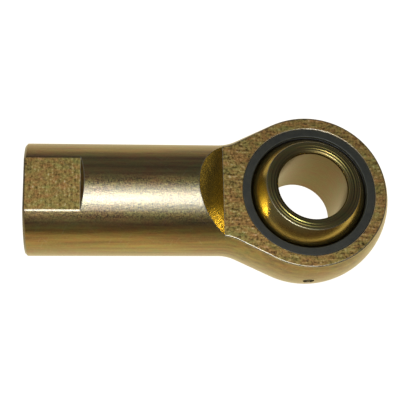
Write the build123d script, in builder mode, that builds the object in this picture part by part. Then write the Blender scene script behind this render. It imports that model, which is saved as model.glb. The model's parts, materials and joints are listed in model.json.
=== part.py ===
from build123d import *
from math import asin, cos, degrees, radians, sin, sqrt, tan
import os

# Rod end bearing with a female thread, bore size 5/8 in: a turned steel body with a ball head, a race
# moulded into the head, and a steel ball that swivels in the race.
# Frame: the origin is the centre of the ball, +Z is the axis of the head's bore, and the shank lies along -X
# with its thread opening towards -X. Lengths are in millimetres and angles in degrees.

os.makedirs("parts", exist_ok=True)

# Rod end body
SHANK_DIAMETER = 25.4
HEAD_DIAMETER = 38.1
HEAD_WIDTH = 14.27
BALL_TO_SHANK_END = 63.5
NECK_ANGLE = 24.7
NECK_FILLET = 9.4
FACE_START = -19.4
BEVEL_ANGLE = 43.5
SHANK_CHAMFER = 0.5
EDGE_BREAK = 0.28

# Wrench flats
ACROSS_FLATS = 22.225
FLAT_LENGTH = 12.4
FLAT_WALL_LEAN = 28.0
FLAT_EDGE_CHAMFER = 0.2
FLAT_END_CHAMFER = 0.35

# Thread 5/8-18 UNF: the bore is plain, at the thread's major diameter
THREAD_DIAMETER = 15.875
THREAD_LENGTH = 35.0
THREAD_MOUTH_CHAMFER = 0.8
TAP_DRILL_DIAMETER = 14.6
TAP_DRILL_DEPTH = 39.5
DRILL_POINT_ANGLE = 118.0

# Seat of the race in the head, with its locking groove and the hole that the race is moulded through
SEAT_DIAMETER = 29.95
SEAT_ROUNDING = 0.2
GROOVE_DIAMETER = 31.9
GROOVE_WIDTH = 5.0
GATE_DIAMETER = 2.8

# Moulded race
RACE_RECESS = 0.25
RACE_LIP_CHAMFER = 0.45
GATE_STUB_RADIUS = 18.7

# Ball
BALL_DIAMETER = 28.575
BALL_WIDTH = 19.05
BALL_BORE = 15.875
BALL_BORE_ROUNDING = 0.75
BALL_EDGE_BREAK = 0.3
BALL_TILT = 5.1
BALL_HEADING = 43.7

# Dry films between the ball and the race
FILM_GAP = 0.03
FILM_THICKNESS = 0.1
RACE_FILM_REACH = 25.0
BALL_FILM_REACH = 10.0

shank_radius = SHANK_DIAMETER / 2
head_radius = HEAD_DIAMETER / 2
ball_radius = BALL_DIAMETER / 2
shank_end = -BALL_TO_SHANK_END
face_height = HEAD_WIDTH / 2
race_height = face_height - RACE_RECESS

ball_film_radius = ball_radius + FILM_GAP
race_film_radius = ball_film_radius + FILM_THICKNESS + FILM_GAP
race_cavity_radius = race_film_radius + FILM_THICKNESS + FILM_GAP

# The ball leans by BALL_TILT towards BALL_HEADING, an angle from +X about +Z.
tilt = radians(BALL_TILT)
heading = radians(BALL_HEADING)
ball_axis = Axis((0, 0, 0), (cos(heading) * sin(tilt), sin(heading) * sin(tilt), cos(tilt)))

# Half sections: local x is the radius and local y is along the axis of the turned piece.
head_section = Plane.XZ
ball_section = Plane(
    origin=(0, 0, 0),
    x_dir=(cos(heading) * cos(tilt), sin(heading) * cos(tilt), -sin(tilt)),
    z_dir=(sin(heading), -cos(heading), 0),
)


def film_zone(inner_radius, reach):
    """The half section of a thin spherical shell that reaches so many degrees to each side of its middle."""
    outer_radius = inner_radius + FILM_THICKNESS
    with BuildLine() as outline:
        inner = CenterArc((0, 0), inner_radius, -reach, 2 * reach)
        outer = CenterArc((0, 0), outer_radius, -reach, 2 * reach)
        Line(inner @ 0, outer @ 0)
        Line(inner @ 1, outer @ 1)
    make_face(outline.edges())


# ---- Rod end body: turned bar with a ball head, milled flat on two sides
neck = radians(NECK_ANGLE)
neck_top = (-head_radius * sin(neck), head_radius * cos(neck))
neck_foot = (neck_top[0] - (neck_top[1] - shank_radius) / tan(neck), shank_radius)

bevel_rise = head_radius - face_height
bevel_run = bevel_rise / tan(radians(BEVEL_ANGLE))

flat_height = ACROSS_FLATS / 2
flat_end = shank_end + FLAT_LENGTH
flat_wall_rise = head_radius - flat_height
flat_wall_run = flat_wall_rise * tan(radians(FLAT_WALL_LEAN))

drill_bottom = shank_end + TAP_DRILL_DEPTH
drill_tip = drill_bottom + TAP_DRILL_DIAMETER / 2 / tan(radians(DRILL_POINT_ANGLE / 2))
thread_radius = THREAD_DIAMETER / 2
thread_end = shank_end + THREAD_LENGTH
mouth_radius = thread_radius + THREAD_MOUTH_CHAMFER

with BuildPart() as rod_end_body:
    with BuildSketch(Plane.XY):
        with BuildLine():
            FilletPolyline((shank_end, shank_radius), neck_foot, neck_top, radius=NECK_FILLET)
            CenterArc((0, 0), head_radius, 90 + NECK_ANGLE, -90 - NECK_ANGLE)
            Polyline((head_radius, 0), (shank_end, 0), (shank_end, shank_radius))
        make_face()
    revolve(axis=Axis.X)
    chamfer(edges().filter_by(GeomType.CIRCLE).group_by(Axis.X)[0], SHANK_CHAMFER)

    # Both head faces, each with the bevel that the cutter leaves on the shank
    with BuildSketch(Plane.XZ):
        with BuildLine():
            Polyline(
                (FACE_START, face_height),
                (head_radius, face_height),
                (head_radius, head_radius),
                (FACE_START - bevel_run, head_radius),
                close=True,
            )
        make_face()
        mirror(about=Plane.XZ)
    extrude(amount=head_radius, both=True, mode=Mode.SUBTRACT)
    face_rims = faces().filter_by(Plane.XY).edges().filter_by(GeomType.CIRCLE)
    fillet(face_rims, EDGE_BREAK)

    # Wrench flats
    with BuildSketch(Plane.XZ):
        with BuildLine():
            Polyline(
                (shank_end, flat_height - FLAT_END_CHAMFER),
                (shank_end + FLAT_END_CHAMFER, flat_height),
                (flat_end, flat_height),
                (flat_end + flat_wall_run, head_radius),
                (shank_end, head_radius),
                close=True,
            )
        make_face()
        mirror(about=Plane.XZ)
    extrude(amount=head_radius, both=True, mode=Mode.SUBTRACT)
    flats = faces().filter_by(Plane.XY).group_by(Axis.X)[0]
    chamfer(flats.edges().filter_by(Axis.X), FLAT_EDGE_CHAMFER)

    # Threaded hole with its mouth chamfer and the drilled tail behind the thread
    with BuildSketch(Plane.XY):
        with BuildLine():
            Polyline(
                (shank_end, 0),
                (shank_end, mouth_radius),
                (shank_end + THREAD_MOUTH_CHAMFER, thread_radius),
                (thread_end, thread_radius),
                (thread_end, TAP_DRILL_DIAMETER / 2),
                (drill_bottom, TAP_DRILL_DIAMETER / 2),
                (drill_tip, 0),
                close=True,
            )
        make_face()
    revolve(axis=Axis.X, mode=Mode.SUBTRACT)

    # Race seat with its rounded mouths and locking groove
    with BuildSketch(head_section):
        with BuildLine():
            rounding_centre = (SEAT_DIAMETER / 2 + SEAT_ROUNDING, face_height - SEAT_ROUNDING)
            mouth = CenterArc(rounding_centre, SEAT_ROUNDING, 90, 90)
            Polyline(
                mouth @ 1,
                (SEAT_DIAMETER / 2, GROOVE_WIDTH / 2),
                (GROOVE_DIAMETER / 2, GROOVE_WIDTH / 2),
                (GROOVE_DIAMETER / 2, 0),
                (0, 0),
                (0, face_height),
                mouth @ 0,
            )
        make_face()
        mirror(about=Plane.XZ)
    revolve(axis=Axis.Z, mode=Mode.SUBTRACT)

    # Gate hole in the side of the head
    with BuildSketch(Plane.XZ):
        Circle(GATE_DIAMETER / 2)
    extrude(amount=head_radius, mode=Mode.SUBTRACT)
rod_end_body.part.label = "rod_end_body"
export_step(rod_end_body.part, "parts/rod_end_body.step")


# ---- Race: moulded in place, so that it fills the seat, its groove and most of the gate hole
with BuildPart() as race:
    with BuildSketch(head_section):
        with BuildLine():
            Polyline(
                (0, race_height),
                (SEAT_DIAMETER / 2, race_height),
                (SEAT_DIAMETER / 2, GROOVE_WIDTH / 2),
                (GROOVE_DIAMETER / 2, GROOVE_WIDTH / 2),
                (GROOVE_DIAMETER / 2, 0),
                (0, 0),
                close=True,
            )
        make_face()
        mirror(about=Plane.XZ)
    revolve(axis=Axis.Z)
    with BuildSketch(Plane.XZ):
        Circle(GATE_DIAMETER / 2)
    extrude(amount=GATE_STUB_RADIUS)
    Sphere(race_cavity_radius, mode=Mode.SUBTRACT)
    race_lips = edges().filter_by(GeomType.CIRCLE).filter_by(
        lambda edge: abs(edge.radius - sqrt(race_cavity_radius**2 - race_height**2)) < 1e-3
    )
    chamfer(race_lips, RACE_LIP_CHAMFER)
race.part.label = "moulded_race"
export_step(race.part, "parts/moulded_race.step")

# ---- Ball: cut flat at both ends, bored for the bolt, and leaning in the race
ball_face_angle = degrees(asin(BALL_WIDTH / BALL_DIAMETER))
bore_radius = BALL_BORE / 2

with BuildPart() as ball:
    with BuildSketch(ball_section):
        with BuildLine() as ball_outline:
            crown = CenterArc((0, 0), ball_radius, -ball_face_angle, 2 * ball_face_angle)
            Polyline(
                crown @ 1,
                (bore_radius, BALL_WIDTH / 2),
                (bore_radius, -BALL_WIDTH / 2),
                crown @ 0,
            )
        make_face()
        fillet(vertices().group_by(Axis.X)[0], BALL_BORE_ROUNDING)
        fillet(vertices().sort_by_distance(crown @ 1)[0], BALL_EDGE_BREAK)
        fillet(vertices().sort_by_distance(crown @ 0)[0], BALL_EDGE_BREAK)
    revolve(axis=ball_axis)
ball.part.label = "ball"
export_step(ball.part, "parts/ball.step")

# ---- Dry film on the race's side, which turns with the direction of the ball's lean
with BuildPart() as race_side_film:
    with BuildSketch(head_section):
        film_zone(race_film_radius, RACE_FILM_REACH)
    revolve(axis=Axis.Z)
race_side_film.part.label = "race_side_film"
export_step(race_side_film.part, "parts/race_side_film.step")

# ---- Dry film on the ball's side, a band round the middle of the leaning ball
with BuildPart() as ball_side_film:
    with BuildSketch(ball_section):
        film_zone(ball_film_radius, BALL_FILM_REACH)
    revolve(axis=ball_axis)
ball_side_film.part.label = "ball_side_film"
export_step(ball_side_film.part, "parts/ball_side_film.step")
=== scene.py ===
import json
from math import cos, pi, radians, sin
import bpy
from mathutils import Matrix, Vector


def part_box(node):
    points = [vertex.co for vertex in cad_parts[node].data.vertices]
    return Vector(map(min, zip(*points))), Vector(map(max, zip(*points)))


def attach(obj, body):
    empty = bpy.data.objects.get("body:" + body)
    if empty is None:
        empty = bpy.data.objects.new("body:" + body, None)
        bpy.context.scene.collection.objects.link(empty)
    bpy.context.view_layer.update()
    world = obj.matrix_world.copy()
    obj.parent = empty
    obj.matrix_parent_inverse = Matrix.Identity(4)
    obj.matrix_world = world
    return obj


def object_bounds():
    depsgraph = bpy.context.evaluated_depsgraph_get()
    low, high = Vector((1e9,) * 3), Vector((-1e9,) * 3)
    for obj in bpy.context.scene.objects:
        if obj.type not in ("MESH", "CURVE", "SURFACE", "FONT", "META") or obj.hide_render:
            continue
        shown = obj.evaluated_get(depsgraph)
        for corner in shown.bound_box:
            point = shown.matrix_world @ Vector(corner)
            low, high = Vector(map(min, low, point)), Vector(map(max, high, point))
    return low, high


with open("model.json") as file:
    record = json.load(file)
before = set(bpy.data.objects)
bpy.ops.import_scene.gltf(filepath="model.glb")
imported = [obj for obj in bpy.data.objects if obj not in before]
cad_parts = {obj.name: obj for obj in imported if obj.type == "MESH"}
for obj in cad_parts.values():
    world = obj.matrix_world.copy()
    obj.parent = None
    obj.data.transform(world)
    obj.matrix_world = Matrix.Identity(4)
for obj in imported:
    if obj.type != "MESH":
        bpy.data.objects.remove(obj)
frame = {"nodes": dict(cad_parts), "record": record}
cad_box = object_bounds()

from types import SimpleNamespace

import bpy
from mathutils import Vector

scene = bpy.context.scene
mounts = {mount["name"]: mount for mount in frame["record"]["mounts"]}

MM = 0.001

# The frame: the origin is the ball's centre, +Z is the axis of the head's seat, and the shank lies along -X.
# The ball's own axis leans a little.
ball_axis = Vector(mounts["ball_bore"]["axis"])
ball_bore_mm = mounts["ball_bore"]["dims"]["r_mm"]
shank_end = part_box("rod_end_body")[0].x
shank_end_mm = shank_end / MM
thread_radius = mounts["shank_thread"]["dims"]["r_mm"] * MM
thread_length = mounts["shank_thread"]["dims"]["length_mm"] * MM

# Camera: place in millimetres, and its turns about X, Y and Z in degrees
CAMERA_PLACE = (-44.9, -80.09, 233.84)
CAMERA_TURNS = (18.94, -4.81, 0.31)
CAMERA_LENS = 97.4
CAMERA_SENSOR = 36.0

# Lights, all aimed at one point of the shank's axis: name, place and size in metres, watts and colour
AIM = (-0.03, 0.0, 0.0)
LIGHTS = [
    ("soft_box_middle", (-0.055, -0.1, 0.335), (0.11, 0.024), 0.34, (0.96, 0.98, 1.0)),
    ("soft_box", (-0.045, -0.075, 0.345), (0.2, 0.17), 0.27, (0.94, 0.98, 1.0)),
    ("soft_box_cloth", (-0.045, -0.14, 0.43), (0.36, 0.34), 0.11, (0.96, 0.98, 1.0)),
    ("front_box", (-0.045, -0.26, 0.30), (0.25, 0.12), 0.06, (1.0, 0.99, 0.96)),
]

# What the metal reflects of the room and the table, which the camera itself sees as white
WHITE = (1.0, 1.0, 1.0, 1.0)
ROOM = (0.15, 0.155, 0.18, 1.0)
FAR_WALL = (0.06, 0.06, 0.07, 1.0)
CEILING = (0.60, 0.62, 0.68, 1.0)
FURNITURE = (0.085, 0.052, 0.03, 1.0)
TABLE = (0.93, 0.80, 0.46, 1.0)
# The table's far half, dimmer as painted shade where the lamps' light falls off
FAR_TABLE_SHADE = (0.70, 0.59, 0.35, 1.0)
PALE_WOOD = (0.25, 0.22, 0.15, 1.0)
TABLE_HALF = 0.3

# Where those lie, as parts of the unit vector towards them, and the table's far half in millimetres
IN_FRONT = (-0.35, -0.8)
LOW_DOWN = (0.42, 0.1)
BEYOND_HEAD = (0.25, 0.6)
OVERHEAD = (0.86, 1.0)
FAR_HALF = (0.0, 50.0)

# 5/8-18 UNF: the ridge stands on a bore of the thread's major diameter, and its foot sinks into the wall.
THREAD_PITCH = 25.4 / 18 * MM
THREAD_DEPTH = 0.54 * THREAD_PITCH
THREAD_FOOT_WIDTH = 0.86 * THREAD_PITCH
THREAD_CREST_WIDTH = 0.22 * THREAD_PITCH
THREAD_SINK = 0.02 * MM
STEPS_PER_TURN = 72

# The ridge starts that far in from the shank's end, and is that much shorter than the thread. It grows and
# fades over part of a turn, and its ends keep a little height.
THREAD_START = 1.0 * MM
THREAD_ENDS = 1.4 * MM
RUN_OUT_TURNS = 0.6
LEAST_TURNS = 0.02

# The yellow chromate, which drifts from olive through gold to a coppery brown as its thickness changes
OLIVE = (0.36, 0.32, 0.09)
GOLD = (0.42, 0.30, 0.085)
COPPER = (0.46, 0.25, 0.078)
CHROMATE = [(0.37, OLIVE), (0.48, GOLD), (0.60, COPPER)]

# Thicker film on the bevels, the ball's brighter film, and a paler film painted along the shank's crown as a
# painted highlight, where the key light's reflection falls
DEEP_GOLD = (0.90, 0.64, 0.11)
BALL_GOLD = (0.70, 0.55, 0.17, 1.0)
PAINTED_HIGHLIGHT_FILM = (0.34, 0.32, 0.26, 1.0)

# How much darker and cooler the ball's end faces are, and the painted shade in its bore, darker and cooler
# for the shadowed table that the bore's wall reflects
END_SHADE = (0.76, 0.87, 0.90)
BORE_PAINTED_SHADE = (0.51, 0.525, 0.585)

# Bare zinc, where handling has rubbed the film off the edges and the high spots of the grain. On the edges
# and rims the paler zinc is partly wear and partly a painted highlight, for the light that they catch.
# An edge is eased, and given its wear and painted highlight, over EDGE_WEAR, and counts as one where the
# surface turns by EDGE_TURN, a cosine.
ZINC = (0.62, 0.58, 0.47, 1.0)
EDGE_WEAR = 0.28 * MM
EDGE_SAMPLES = 6
EDGE_TURN = (0.995, 0.95)

# Two sets of hair scratches: their headings in radians, and how much of the noise is a scratch
SCRATCH_HEADINGS = (0.6, -0.9)
SCRATCH = (0.66, 0.70)

# Painted shade in the chamfer round the shank's open end: a dark colour standing for the dark that the
# chamfer reflects
MOUTH_PAINTED_SHADE = (0.07, 0.067, 0.052, 1.0)

# The race's dark plastic with its scuffed edges, and the dry films
PLASTIC = [(0.35, (0.010, 0.011, 0.006)), (0.65, (0.028, 0.028, 0.015))]
SCUFFED_PLASTIC = (0.10, 0.11, 0.10, 1.0)
DRY_FILM = [(0.3, (0.016, 0.016, 0.018)), (0.7, (0.05, 0.05, 0.055))]

# The limits of the masks: where each one starts and where it is full. Places, heights and radii are in
# millimetres at rest, and the others say how far the surface faces one way, up to 1.
FACING_UP = (0.985, 0.997)
OFF_FACE = (0.985, 0.96)
BELOW_CROWN = (11.5, 11.3)
BEVEL_FACING = (0.48, 0.49)
SHANK_START = (-30.0, -31.0)
NECK = (-18.0, -36.0)
RIM_HEIGHT = (6.8, 6.85)
RIM_START = (-19.2, -19.0)
CROWN = (0.87, 0.99)
HIGHLIGHT_CORE = (0.95, 0.995)
INBOARD_OF_MOUTH = (shank_end_mm + 0.9, shank_end_mm + 1.2)
MOUTH = (shank_end_mm + 0.9, shank_end_mm + 0.7)
MOUTH_OUTSIDE = (10.0, 10.5)
PAST_TURNED = (0.5, 0.6)
SHORT_OF_END_FACE = (0.9, 0.8)
BALL_END = (0.80, 0.90)
BALL_OFF_FLAT = (0.99, 0.95)
BALL_OFF_SPHERE = (0.67, 0.70)
BALL_RIM_RADIUS = (9.8, 10.0)
BALL_BORE_RADIUS = (ball_bore_mm + 0.2625, ball_bore_mm + 0.0325)

# The middle of the shank's crown, which leans a little to the front, towards the key light: this is where
# the light's highlight falls, and where the paler film is painted as a highlight
CROWN_DIRECTION = (0.0, -0.29, 0.957)

# Two rings that the tool left raised on each end face of the ball: radius, half width and height in
# millimetres
RIDGES = [(9.15, 0.3, 0.09), (9.8, 0.25, 0.045)]


# ---- Shader helpers

class Tree:
    """A node tree, with short ways to add and join nodes."""

    def __init__(self, tree):
        self.tree = tree

    def node(self, kind, **settings):
        made = self.tree.nodes.new(kind)
        for key, value in settings.items():
            setattr(made, key, value)
        return made

    def feed(self, socket, value):
        """Joins a node's output to socket, or sets a constant on it."""
        if isinstance(value, bpy.types.NodeSocket):
            self.tree.links.new(value, socket)
        else:
            socket.default_value = value

    def math(self, operation, a, b=0.0):
        made = self.node("ShaderNodeMath", operation=operation)
        self.feed(made.inputs[0], a)
        self.feed(made.inputs[1], b)
        return made.outputs["Value"]

    def times(self, product, *others):
        for other in others:
            product = self.math("MULTIPLY", product, other)
        return product

    def plus(self, a, b):
        return self.math("ADD", a, b)

    def greatest(self, most, *others):
        for other in others:
            most = self.math("MAXIMUM", most, other)
        return most

    def opposite(self, mask):
        """1 where the mask is 0, and 0 where it is 1."""
        return self.math("SUBTRACT", 1.0, mask)

    def unsigned(self, value):
        return self.math("ABSOLUTE", value)

    def distance(self, a, b):
        """How far a place is from an axis, from its two coordinates across the axis."""
        return self.math("SQRT", self.plus(self.times(a, a), self.times(b, b)))

    def scaled(self, vector, factors):
        """The vector or colour with each of its parts multiplied by its own factor."""
        made = self.node("ShaderNodeVectorMath", operation="MULTIPLY")
        self.feed(made.inputs[0], vector)
        self.feed(made.inputs[1], factors)
        return made.outputs["Vector"]

    def dot(self, a, b):
        made = self.node("ShaderNodeVectorMath", operation="DOT_PRODUCT")
        self.feed(made.inputs[0], a)
        self.feed(made.inputs[1], b)
        return made.outputs["Value"]

    def split(self, vector):
        made = self.node("ShaderNodeSeparateXYZ")
        self.feed(made.inputs["Vector"], vector)
        return made.outputs["X"], made.outputs["Y"], made.outputs["Z"]

    def join(self, x, y, z):
        made = self.node("ShaderNodeCombineXYZ")
        for name, value in zip("XYZ", (x, y, z)):
            self.feed(made.inputs[name], value)
        return made.outputs["Vector"]

    def shaded(self, colour, shade):
        """The colour, lighter or darker by one factor."""
        return self.scaled(colour, self.join(shade, shade, shade))

    def between(self, value, low, high):
        """0 below low, 1 above high, and smooth between. A low above high turns it round."""
        made = self.node("ShaderNodeMapRange", interpolation_type="SMOOTHSTEP")
        self.feed(made.inputs["Value"], value)
        made.inputs["From Min"].default_value = low
        made.inputs["From Max"].default_value = high
        return made.outputs["Result"]

    def spread(self, value, low, high):
        """A noise value, most of it from 0.25 to 0.75, stretched to run from low to high."""
        made = self.node("ShaderNodeMapRange")
        self.feed(made.inputs["Value"], value)
        made.inputs["From Min"].default_value = 0.25
        made.inputs["From Max"].default_value = 0.75
        made.inputs["To Min"].default_value = low
        made.inputs["To Max"].default_value = high
        return made.outputs["Result"]

    def noise(self, vector, per_mm, detail=3.0, roughness=0.55):
        made = self.node("ShaderNodeTexNoise")
        self.feed(made.inputs["Vector"], vector)
        made.inputs["Scale"].default_value = per_mm
        made.inputs["Detail"].default_value = detail
        made.inputs["Roughness"].default_value = roughness
        return made.outputs["Fac"]

    def lines(self, along, per_mm, detail=3.0, roughness=0.65):
        """Noise that changes only with one coordinate, so that it draws lines across it."""
        made = self.node("ShaderNodeTexNoise", noise_dimensions="1D")
        self.feed(made.inputs["W"], along)
        made.inputs["Scale"].default_value = per_mm
        made.inputs["Detail"].default_value = detail
        made.inputs["Roughness"].default_value = roughness
        return made.outputs["Fac"]

    def ramp(self, value, stops):
        made = self.node("ShaderNodeValToRGB")
        self.feed(made.inputs["Fac"], value)
        elements = made.color_ramp.elements
        while len(elements) < len(stops):
            elements.new(0.5)
        for element, (place, colour) in zip(elements, stops):
            element.position = place
            element.color = (*colour, 1.0)
        return made.outputs["Color"]

    def mix(self, amount, a, b):
        made = self.node("ShaderNodeMix")
        self.feed(made.inputs["Factor"], amount)
        self.feed(made.inputs["A"], a)
        self.feed(made.inputs["B"], b)
        return made.outputs["Result"]

    def mix_colour(self, amount, a, b):
        """The colour sockets go by number, because the node's number sockets have the same names."""
        made = self.node("ShaderNodeMix", data_type="RGBA")
        self.feed(made.inputs["Factor"], amount)
        self.feed(made.inputs[6], a)
        self.feed(made.inputs[7], b)
        return made.outputs[2]

    def bump(self, height, distance, after=None):
        """Relief of that many millimetres, on top of an earlier one."""
        made = self.node("ShaderNodeBump")
        self.feed(made.inputs["Height"], height)
        made.inputs["Strength"].default_value = 1.0
        made.inputs["Distance"].default_value = distance * MM
        if after is not None:
            self.feed(made.inputs["Normal"], after)
        return made.outputs["Normal"]


class Material(Tree):
    """A material's tree. Its coordinates are in millimetres, in the frame of the piece at rest."""

    def __init__(self, name):
        self.material = bpy.data.materials.new(name)
        self.material.use_nodes = True
        super().__init__(self.material.node_tree)
        self.surface = self.tree.nodes["Principled BSDF"]
        coordinates = self.node("ShaderNodeTexCoord")
        self.place = self.scaled(coordinates.outputs["Object"], (1 / MM, 1 / MM, 1 / MM))
        self.normal = coordinates.outputs["Normal"]

    def set(self, name, value):
        self.feed(self.surface.inputs[name], value)

    def streaks(self, factors, **settings):
        """Noise drawn out along the directions whose factors are small."""
        return self.noise(self.scaled(self.place, factors), **settings)


# ---- Camera, lights, room and floor

def make_camera():
    data = bpy.data.cameras.new("camera")
    data.sensor_width = CAMERA_SENSOR
    data.lens = CAMERA_LENS
    data.clip_start = 0.01
    camera = bpy.data.objects.new("camera", data)
    camera.location = Vector(CAMERA_PLACE) * MM
    camera.rotation_mode = "ZYX"
    camera.rotation_euler = [radians(turn) for turn in CAMERA_TURNS]
    scene.collection.objects.link(camera)
    scene.camera = camera


def make_lights():
    """A soft box with a hot middle above the camera, a fainter cloth round it, and a low box in front."""
    for name, place, size, watts, colour in LIGHTS:
        data = bpy.data.lights.new(name, "AREA")
        data.shape = "RECTANGLE"
        data.size, data.size_y = size
        data.energy = watts
        data.color = colour
        light = bpy.data.objects.new(name, data)
        light.location = Vector(place)
        light.rotation_mode = "QUATERNION"
        light.rotation_quaternion = (Vector(AIM) - light.location).to_track_quat("-Z", "Y")
        light.visible_camera = False
        scene.collection.objects.link(light)
    scene.view_settings.view_transform = "Standard"


def make_room():
    """A dim room: a pale ceiling, brown furniture in front, and a darker wall beyond the head."""
    world = bpy.data.worlds.new("studio")
    world.use_nodes = True
    shader = Tree(world.node_tree)
    room = world.node_tree.nodes["Background"]
    aside, forward, up = shader.split(shader.node("ShaderNodeTexCoord").outputs["Generated"])
    in_front = shader.between(forward, *IN_FRONT)
    low_down = shader.between(shader.unsigned(up), *LOW_DOWN)
    beyond_head = shader.between(aside, *BEYOND_HEAD)
    overhead = shader.between(up, *OVERHEAD)
    walls = shader.mix_colour(beyond_head, ROOM, FAR_WALL)
    furnished = shader.mix_colour(shader.times(in_front, low_down), walls, FURNITURE)
    shader.feed(room.inputs["Color"], shader.mix_colour(overhead, furnished, CEILING))
    room.inputs["Strength"].default_value = 1.0
    backdrop = shader.node("ShaderNodeBackground")
    backdrop.inputs["Color"].default_value = WHITE
    chosen = shader.node("ShaderNodeMixShader")
    shader.feed(chosen.inputs["Fac"], shader.node("ShaderNodeLightPath").outputs["Is Camera Ray"])
    shader.feed(chosen.inputs[1], room.outputs["Background"])
    shader.feed(chosen.inputs[2], backdrop.outputs["Background"])
    shader.feed(world.node_tree.nodes["World Output"].inputs["Surface"], chosen.outputs["Shader"])
    scene.world = world


def make_floor():
    """A pale table. The camera sees it as white as the backdrop, and the metal sees it as warm, darker
    behind as painted shade where the lamps' light falls off.
    """
    top = cad_box[0].z
    corners = [(TABLE_HALF * x, TABLE_HALF * y, top) for x, y in [(-1, -1), (1, -1), (1, 1), (-1, 1)]]
    mesh = bpy.data.meshes.new("floor")
    mesh.from_pydata(corners, [], [(0, 1, 2, 3)])
    floor = bpy.data.objects.new("floor", mesh)
    shader = Material("pale_table")
    shader.set("Base Color", PALE_WOOD)
    shader.set("Roughness", 0.9)
    shader.set("Specular IOR Level", 0.0)
    seen = shader.node("ShaderNodeLightPath").outputs["Is Camera Ray"]
    # Painted shade: the far half of the table glows dimmer, for the lamps' light falling off
    behind = shader.between(shader.split(shader.place)[1], *FAR_HALF)
    wood = shader.mix_colour(behind, TABLE, FAR_TABLE_SHADE)
    shader.set("Emission Color", shader.mix_colour(seen, wood, WHITE))
    shader.set("Emission Strength", 1.0)
    mesh.materials.append(shader.material)
    scene.collection.objects.link(floor)


# ---- Materials

def chromate_colour(shader, grain, contrast, value=0.66, browner=0.0, tinting=0.3):
    """Gold plating whose film drifts in thickness, and darkens and browns in the low spots of the grain."""
    drift = shader.streaks((0.4, 1.0, 1.0), per_mm=0.25, detail=2.0)
    mottle = shader.streaks((0.6, 1.0, 1.0), per_mm=0.9)
    clouds = shader.mix(0.6, drift, mottle)
    thickness = shader.mix(tinting, clouds, shader.opposite(grain))
    colour = shader.ramp(shader.plus(thickness, browner), CHROMATE)
    shade = shader.times(shader.math("SUBTRACT", grain, 0.5), contrast)
    return shader.shaded(colour, shader.plus(shade, value))


def rounded_edges(shader):
    """The normal with its edges eased, and how much of an edge each place is, from 0 to 1."""
    eased = shader.node("ShaderNodeBevel", samples=EDGE_SAMPLES)
    eased.inputs["Radius"].default_value = EDGE_WEAR
    plain = shader.node("ShaderNodeNewGeometry").outputs["Normal"]
    agreement = shader.dot(eased.outputs["Normal"], plain)
    return eased.outputs["Normal"], shader.between(agreement, *EDGE_TURN)


def scratches(shader, heading):
    """Hair scratches on the upper and lower sides, all near one heading, as 1 on a scratch and 0 off it."""
    turn = shader.node("ShaderNodeVectorRotate", rotation_type="Z_AXIS")
    shader.feed(turn.inputs["Vector"], shader.place)
    turn.inputs["Angle"].default_value = heading
    drawn_out = shader.scaled(turn.outputs["Vector"], (0.16, 4.0, 0.3))
    hairs = shader.noise(drawn_out, per_mm=1.0, detail=2.0, roughness=0.5)
    return shader.between(hairs, *SCRATCH)


def clear_film(shader, weight, roughness):
    """The clear part of the chromate film, over the metal."""
    shader.set("Metallic", 1.0)
    shader.set("Coat Weight", weight)
    shader.set("Coat Roughness", roughness)
    shader.set("Coat IOR", 1.6)


def body_regions(shader):
    """Masks, from 0 to 1, of the kinds of surface that the body has."""
    along, across, up = shader.split(shader.place)
    normal_x, normal_y, normal_z = shader.split(shader.normal)
    height = shader.unsigned(up)
    flatness = shader.unsigned(normal_z)
    leftward = shader.times(normal_x, -1.0)
    crownward = shader.dot(shader.join(0.0, normal_y, flatness), CROWN_DIRECTION)
    past_turned = shader.between(leftward, *PAST_TURNED)
    short_of_end_face = shader.between(leftward, *SHORT_OF_END_FACE)
    at_mouth = shader.between(along, *MOUTH)
    outside = shader.between(shader.distance(across, up), *MOUTH_OUTSIDE)
    return SimpleNamespace(
        on_shank=shader.between(along, *SHANK_START),
        towards_shank=shader.between(along, *NECK),
        milled=shader.times(shader.between(flatness, *FACING_UP), shader.between(height, *BELOW_CROWN)),
        beveled=shader.between(shader.times(flatness, normal_x), *BEVEL_FACING),
        rim=shader.times(
            shader.between(flatness, *OFF_FACE),
            shader.between(height, *RIM_HEIGHT),
            shader.between(along, *RIM_START),
        ),
        crown=shader.between(crownward, *CROWN),
        highlight_core=shader.between(crownward, *HIGHLIGHT_CORE),
        inboard=shader.between(along, *INBOARD_OF_MOUTH),
        end_chamfer=shader.times(past_turned, short_of_end_face, shader.times(at_mouth, outside)),
    )


def body_grains(shader, region):
    """Noise for each kind of mark on the body. finish is the one that belongs at each place."""
    drawn = shader.streaks((0.05, 1.0, 1.0), per_mm=0.9, detail=4.0, roughness=0.6)
    speckle = shader.noise(shader.place, per_mm=1.7, detail=3.0, roughness=0.7)
    sand = shader.noise(shader.place, per_mm=3.2, detail=2.0, roughness=0.6)
    sparkle = shader.noise(shader.place, per_mm=1.5, detail=4.0, roughness=0.75)
    flakes = shader.streaks((1.0, 0.5, 1.0), per_mm=2.2, detail=3.0, roughness=0.6)
    head_strokes = shader.streaks((0.42, 1.9, 1.0), per_mm=1.0, detail=3.0, roughness=0.65)
    flat_strokes = shader.streaks((1.9, 0.35, 1.0), per_mm=1.0, detail=3.0, roughness=0.65)
    milling = shader.mix(0.6, shader.mix(region.on_shank, head_strokes, flat_strokes), speckle)
    # More sand on the crown: partly real grain, and partly painted glints where the key light's highlight
    # falls
    turned = shader.mix(shader.mix(region.crown, 0.25, 0.75), drawn, sand)
    return SimpleNamespace(
        speckle=speckle,
        sparkle=sparkle,
        flakes=flakes,
        milling=milling,
        finish=shader.mix(region.milled, turned, milling),
    )


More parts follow.
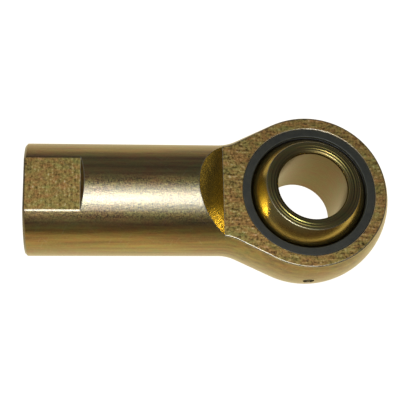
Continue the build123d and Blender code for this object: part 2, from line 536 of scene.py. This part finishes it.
def body_film(shader, region, grains):
    """The body's chromate: deep on the bevels, with a paler film painted on the crown as a highlight, and
    painted shade in the mouth's chamfer.
    """
    # Stronger colour contrast on the crown: partly real grain, and partly painted glints of the key light's
    # highlight
    turned_contrast = shader.mix(region.crown, 1.4, 4.5)
    milled_contrast = shader.mix(region.on_shank, 4.4, 3.8)
    turned_value = shader.mix(region.towards_shank, 0.495, 0.61)
    milled_value = shader.mix(region.on_shank, 0.735, 0.78)
    on_head_face = shader.times(region.milled, shader.opposite(region.on_shank))
    film = chromate_colour(
        shader,
        grains.finish,
        contrast=shader.mix(region.milled, turned_contrast, milled_contrast),
        value=shader.mix(region.milled, turned_value, milled_value),
        browner=shader.times(on_head_face, 0.025),
        tinting=shader.mix(region.milled, 0.3, 0.16),
    )
    # Painted highlight: a paler film along the middle of the crown, where the key light's reflection falls
    painted_highlight = shader.times(region.highlight_core, shader.opposite(region.milled), 0.55)
    deep_film = shader.shaded(DEEP_GOLD, shader.spread(grains.flakes, 0.5, 1.05))
    coloured = shader.mix_colour(region.beveled, shader.mix_colour(painted_highlight, film, PAINTED_HIGHLIGHT_FILM), deep_film)
    # Painted shade: the mouth's chamfer is darkened unevenly, for the dark that it reflects
    painted_mouth_shade = shader.times(region.end_chamfer, shader.spread(grains.speckle, 0.95, 0.55))
    return shader.mix_colour(painted_mouth_shade, coloured, MOUTH_PAINTED_SHADE)


def body_wear_and_highlights(shader, region, grains, edge, scratched):
    """How far the film is rubbed to zinc: on the high spots of the milling, along the edges and in the
    scratches. Along the edges and the rim it is partly a painted highlight, for the light that they catch.
    """
    high_spots = shader.times(shader.between(grains.milling, 0.56, 0.68), shader.times(region.milled, 0.55))
    edges = shader.times(edge, region.inboard, 0.8)
    worn_and_highlit = shader.greatest(edges, shader.times(region.rim, 0.3))
    return shader.greatest(high_spots, worn_and_highlit, shader.times(scratched, 0.08))


def body_roughness(shader, region, grains):
    turned = shader.spread(grains.speckle, 0.29, 0.36)
    milled = shader.spread(grains.milling, 0.46, 0.6)
    beveled = shader.spread(grains.speckle, 0.21, 0.265)
    return shader.mix(region.beveled, shader.mix(region.milled, turned, milled), beveled)


def body_relief(shader, region, grains, scratched):
    """The height of the marks in millimetres. The crown is the sandiest."""
    sandy = shader.times(grains.sparkle, shader.mix(region.crown, 0.04, 0.08))
    turned = shader.plus(sandy, shader.times(scratched, -0.004))
    milled = shader.times(grains.milling, 0.06)
    beveled = shader.times(grains.flakes, 0.055)
    return shader.mix(region.beveled, shader.mix(region.milled, turned, milled), beveled)


def plated_body_material():
    """Turned round the X axis, apart from the milled faces, flats and bevels."""
    shader = Material("plated_body")
    region = body_regions(shader)
    grains = body_grains(shader, region)
    eased, edge = rounded_edges(shader)
    scratched = shader.greatest(*[scratches(shader, heading) for heading in SCRATCH_HEADINGS])
    bare_and_highlit = body_wear_and_highlights(shader, region, grains, edge, scratched)
    shader.set("Base Color", shader.mix_colour(bare_and_highlit, body_film(shader, region, grains), ZINC))
    shader.set("Roughness", body_roughness(shader, region, grains))
    shader.set("Normal", shader.bump(body_relief(shader, region, grains, scratched), 1.0, eased))
    coat = shader.mix(region.beveled, shader.mix(region.milled, 0.6, 0.1), 0.1)
    clear_film(shader, coat, roughness=0.3)
    return shader.material


def ridge(shader, radius, middle, half_width, tall):
    """The height of a raised ring round the axis, which falls to nothing at half its width."""
    off_middle = shader.unsigned(shader.math("SUBTRACT", radius, middle))
    return shader.times(shader.between(off_middle, half_width, 0.0), tall)


def plated_ball_material():
    """Ground sphere, turned end faces and a reamed bore, all round the ball's own axis."""
    shader = Material("plated_ball")
    upright = ball_axis.rotation_difference(Vector((0, 0, 1))).to_euler()
    own_parts = []
    for vector in (shader.place, shader.normal):
        turn = shader.node("ShaderNodeVectorRotate", rotation_type="EULER_XYZ")
        shader.feed(turn.inputs["Vector"], vector)
        turn.inputs["Rotation"].default_value = upright
        own_parts.append(shader.split(turn.outputs["Vector"]))
    (side, other_side, height), (_, _, facing) = own_parts
    flatness = shader.unsigned(facing)
    radius = shader.distance(side, other_side)
    on_end = shader.between(flatness, *BALL_END)
    in_bore = shader.between(radius, *BALL_BORE_RADIUS)
    rim = shader.times(
        shader.between(flatness, *BALL_OFF_FLAT),
        shader.between(flatness, *BALL_OFF_SPHERE),
        shader.between(radius, *BALL_RIM_RADIUS),
    )
    eased, edge = rounded_edges(shader)

    rings = shader.lines(radius, per_mm=3.0, detail=1.0)
    bands = shader.lines(height, per_mm=2.5)
    speckle = shader.noise(shader.place, per_mm=1.6)
    grain = shader.mix(on_end, shader.mix(0.35, bands, speckle), rings)

    plating = chromate_colour(shader, grain, contrast=0.6)
    ground_film = shader.mix_colour(0.5, plating, BALL_GOLD)
    end_film = shader.scaled(plating, END_SHADE)
    # Painted shade: the bore is darkened for the shadowed table that its wall reflects
    bore_film_with_painted_shade = shader.scaled(plating, BORE_PAINTED_SHADE)
    film = shader.mix_colour(in_bore, shader.mix_colour(on_end, ground_film, end_film), bore_film_with_painted_shade)
    # Paler edges and rim: partly wear, and partly a painted highlight for the light that they catch
    worn_and_highlit = shader.greatest(shader.times(edge, 0.5), shader.times(rim, 0.35))
    shader.set("Base Color", shader.mix_colour(worn_and_highlit, film, ZINC))

    ground = shader.spread(grain, 0.18, 0.24)
    bored = shader.spread(grain, 0.29, 0.36)
    shader.set("Roughness", shader.mix(rim, shader.mix(in_bore, ground, bored), 0.30))

    fine_relief = shader.times(grain, shader.mix(on_end, shader.mix(in_bore, 0.004, 0.02), 0.03))
    ridges = [ridge(shader, radius, *measures) for measures in RIDGES]
    turned_ridges = shader.times(shader.plus(*ridges), on_end)
    shader.set("Normal", shader.bump(shader.plus(fine_relief, turned_ridges), 1.0, eased))
    clear_film(shader, shader.mix(on_end, 0.12, 0.4), roughness=0.12)
    return shader.material


def race_material():
    """Dark filled plastic, satin as it left the mould, and paler along its edges."""
    shader = Material("race_plastic")
    eased, edge = rounded_edges(shader)
    cloud = shader.noise(shader.place, per_mm=0.5)
    grain = shader.noise(shader.place, per_mm=3.0, detail=4.0, roughness=0.7)
    tone = shader.mix(0.5, cloud, grain)
    scuffed = shader.times(edge, 0.6)
    shader.set("Base Color", shader.mix_colour(scuffed, shader.ramp(tone, PLASTIC), SCUFFED_PLASTIC))
    shader.set("Roughness", shader.spread(tone, 0.38, 0.52))
    shader.set("Normal", shader.bump(grain, 0.02, eased))
    return shader.material


def dry_film_material():
    """Burnished dry lubricant, with faint rubbing lines round the seat."""
    shader = Material("dry_film")
    smear = shader.streaks((1.0, 1.0, 4.0), per_mm=1.5)
    shader.set("Base Color", shader.ramp(smear, DRY_FILM))
    shader.set("Roughness", shader.spread(smear, 0.45, 0.65))
    shader.set("Normal", shader.bump(smear, 0.006))
    return shader.material


def use_material(node, material):
    mesh = frame["nodes"][node].data
    mesh.materials.clear()
    mesh.materials.append(material)


# ---- The thread in the shank

def thread_section(height):
    """The ridge's outline at one place, as (offset along the axis, radius), for a height from 0 to 1."""
    foot = thread_radius + THREAD_SINK
    crest = thread_radius - THREAD_DEPTH * height
    crest_half = (THREAD_CREST_WIDTH + (THREAD_FOOT_WIDTH - THREAD_CREST_WIDTH) * (1 - height) * 0.5) / 2
    foot_half = THREAD_FOOT_WIDTH / 2
    return [(-foot_half, foot), (-crest_half, crest), (crest_half, crest), (foot_half, foot)]


def make_thread(material):
    """A right-hand ridge that winds in from the mouth and runs out before the end of the plain bore."""
    start = shank_end + THREAD_START
    turns = (thread_length - THREAD_ENDS) / THREAD_PITCH
    count = round(turns * STEPS_PER_TURN)
    points = []
    for step in range(count + 1):
        turn = step / STEPS_PER_TURN
        to_nearest_end = min(turn, turns - turn) + LEAST_TURNS
        height = min(1.0, to_nearest_end / RUN_OUT_TURNS)
        angle = 2 * pi * turn
        for offset, radius in thread_section(height):
            points.append((start + turn * THREAD_PITCH + offset, radius * cos(angle), radius * sin(angle)))
    faces = [(3, 2, 1, 0)]
    for step in range(count):
        near = 4 * step
        for corner in range(4):
            following = (corner + 1) % 4
            faces.append((near + corner, near + following, near + 4 + following, near + 4 + corner))
    last = 4 * count
    faces.append((last, last + 1, last + 2, last + 3))
    mesh = bpy.data.meshes.new("thread")
    mesh.from_pydata(points, [], faces)
    mesh.materials.append(material)
    thread = bpy.data.objects.new("thread", mesh)
    scene.collection.objects.link(thread)
    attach(thread, "housing")


make_camera()
make_lights()
make_room()
make_floor()
plated_body = plated_body_material()
dry_film = dry_film_material()
use_material("rod_end_body", plated_body)
use_material("moulded_race", race_material())
use_material("ball", plated_ball_material())
use_material("race_side_film", dry_film)
use_material("ball_side_film", dry_film)
make_thread(plated_body)
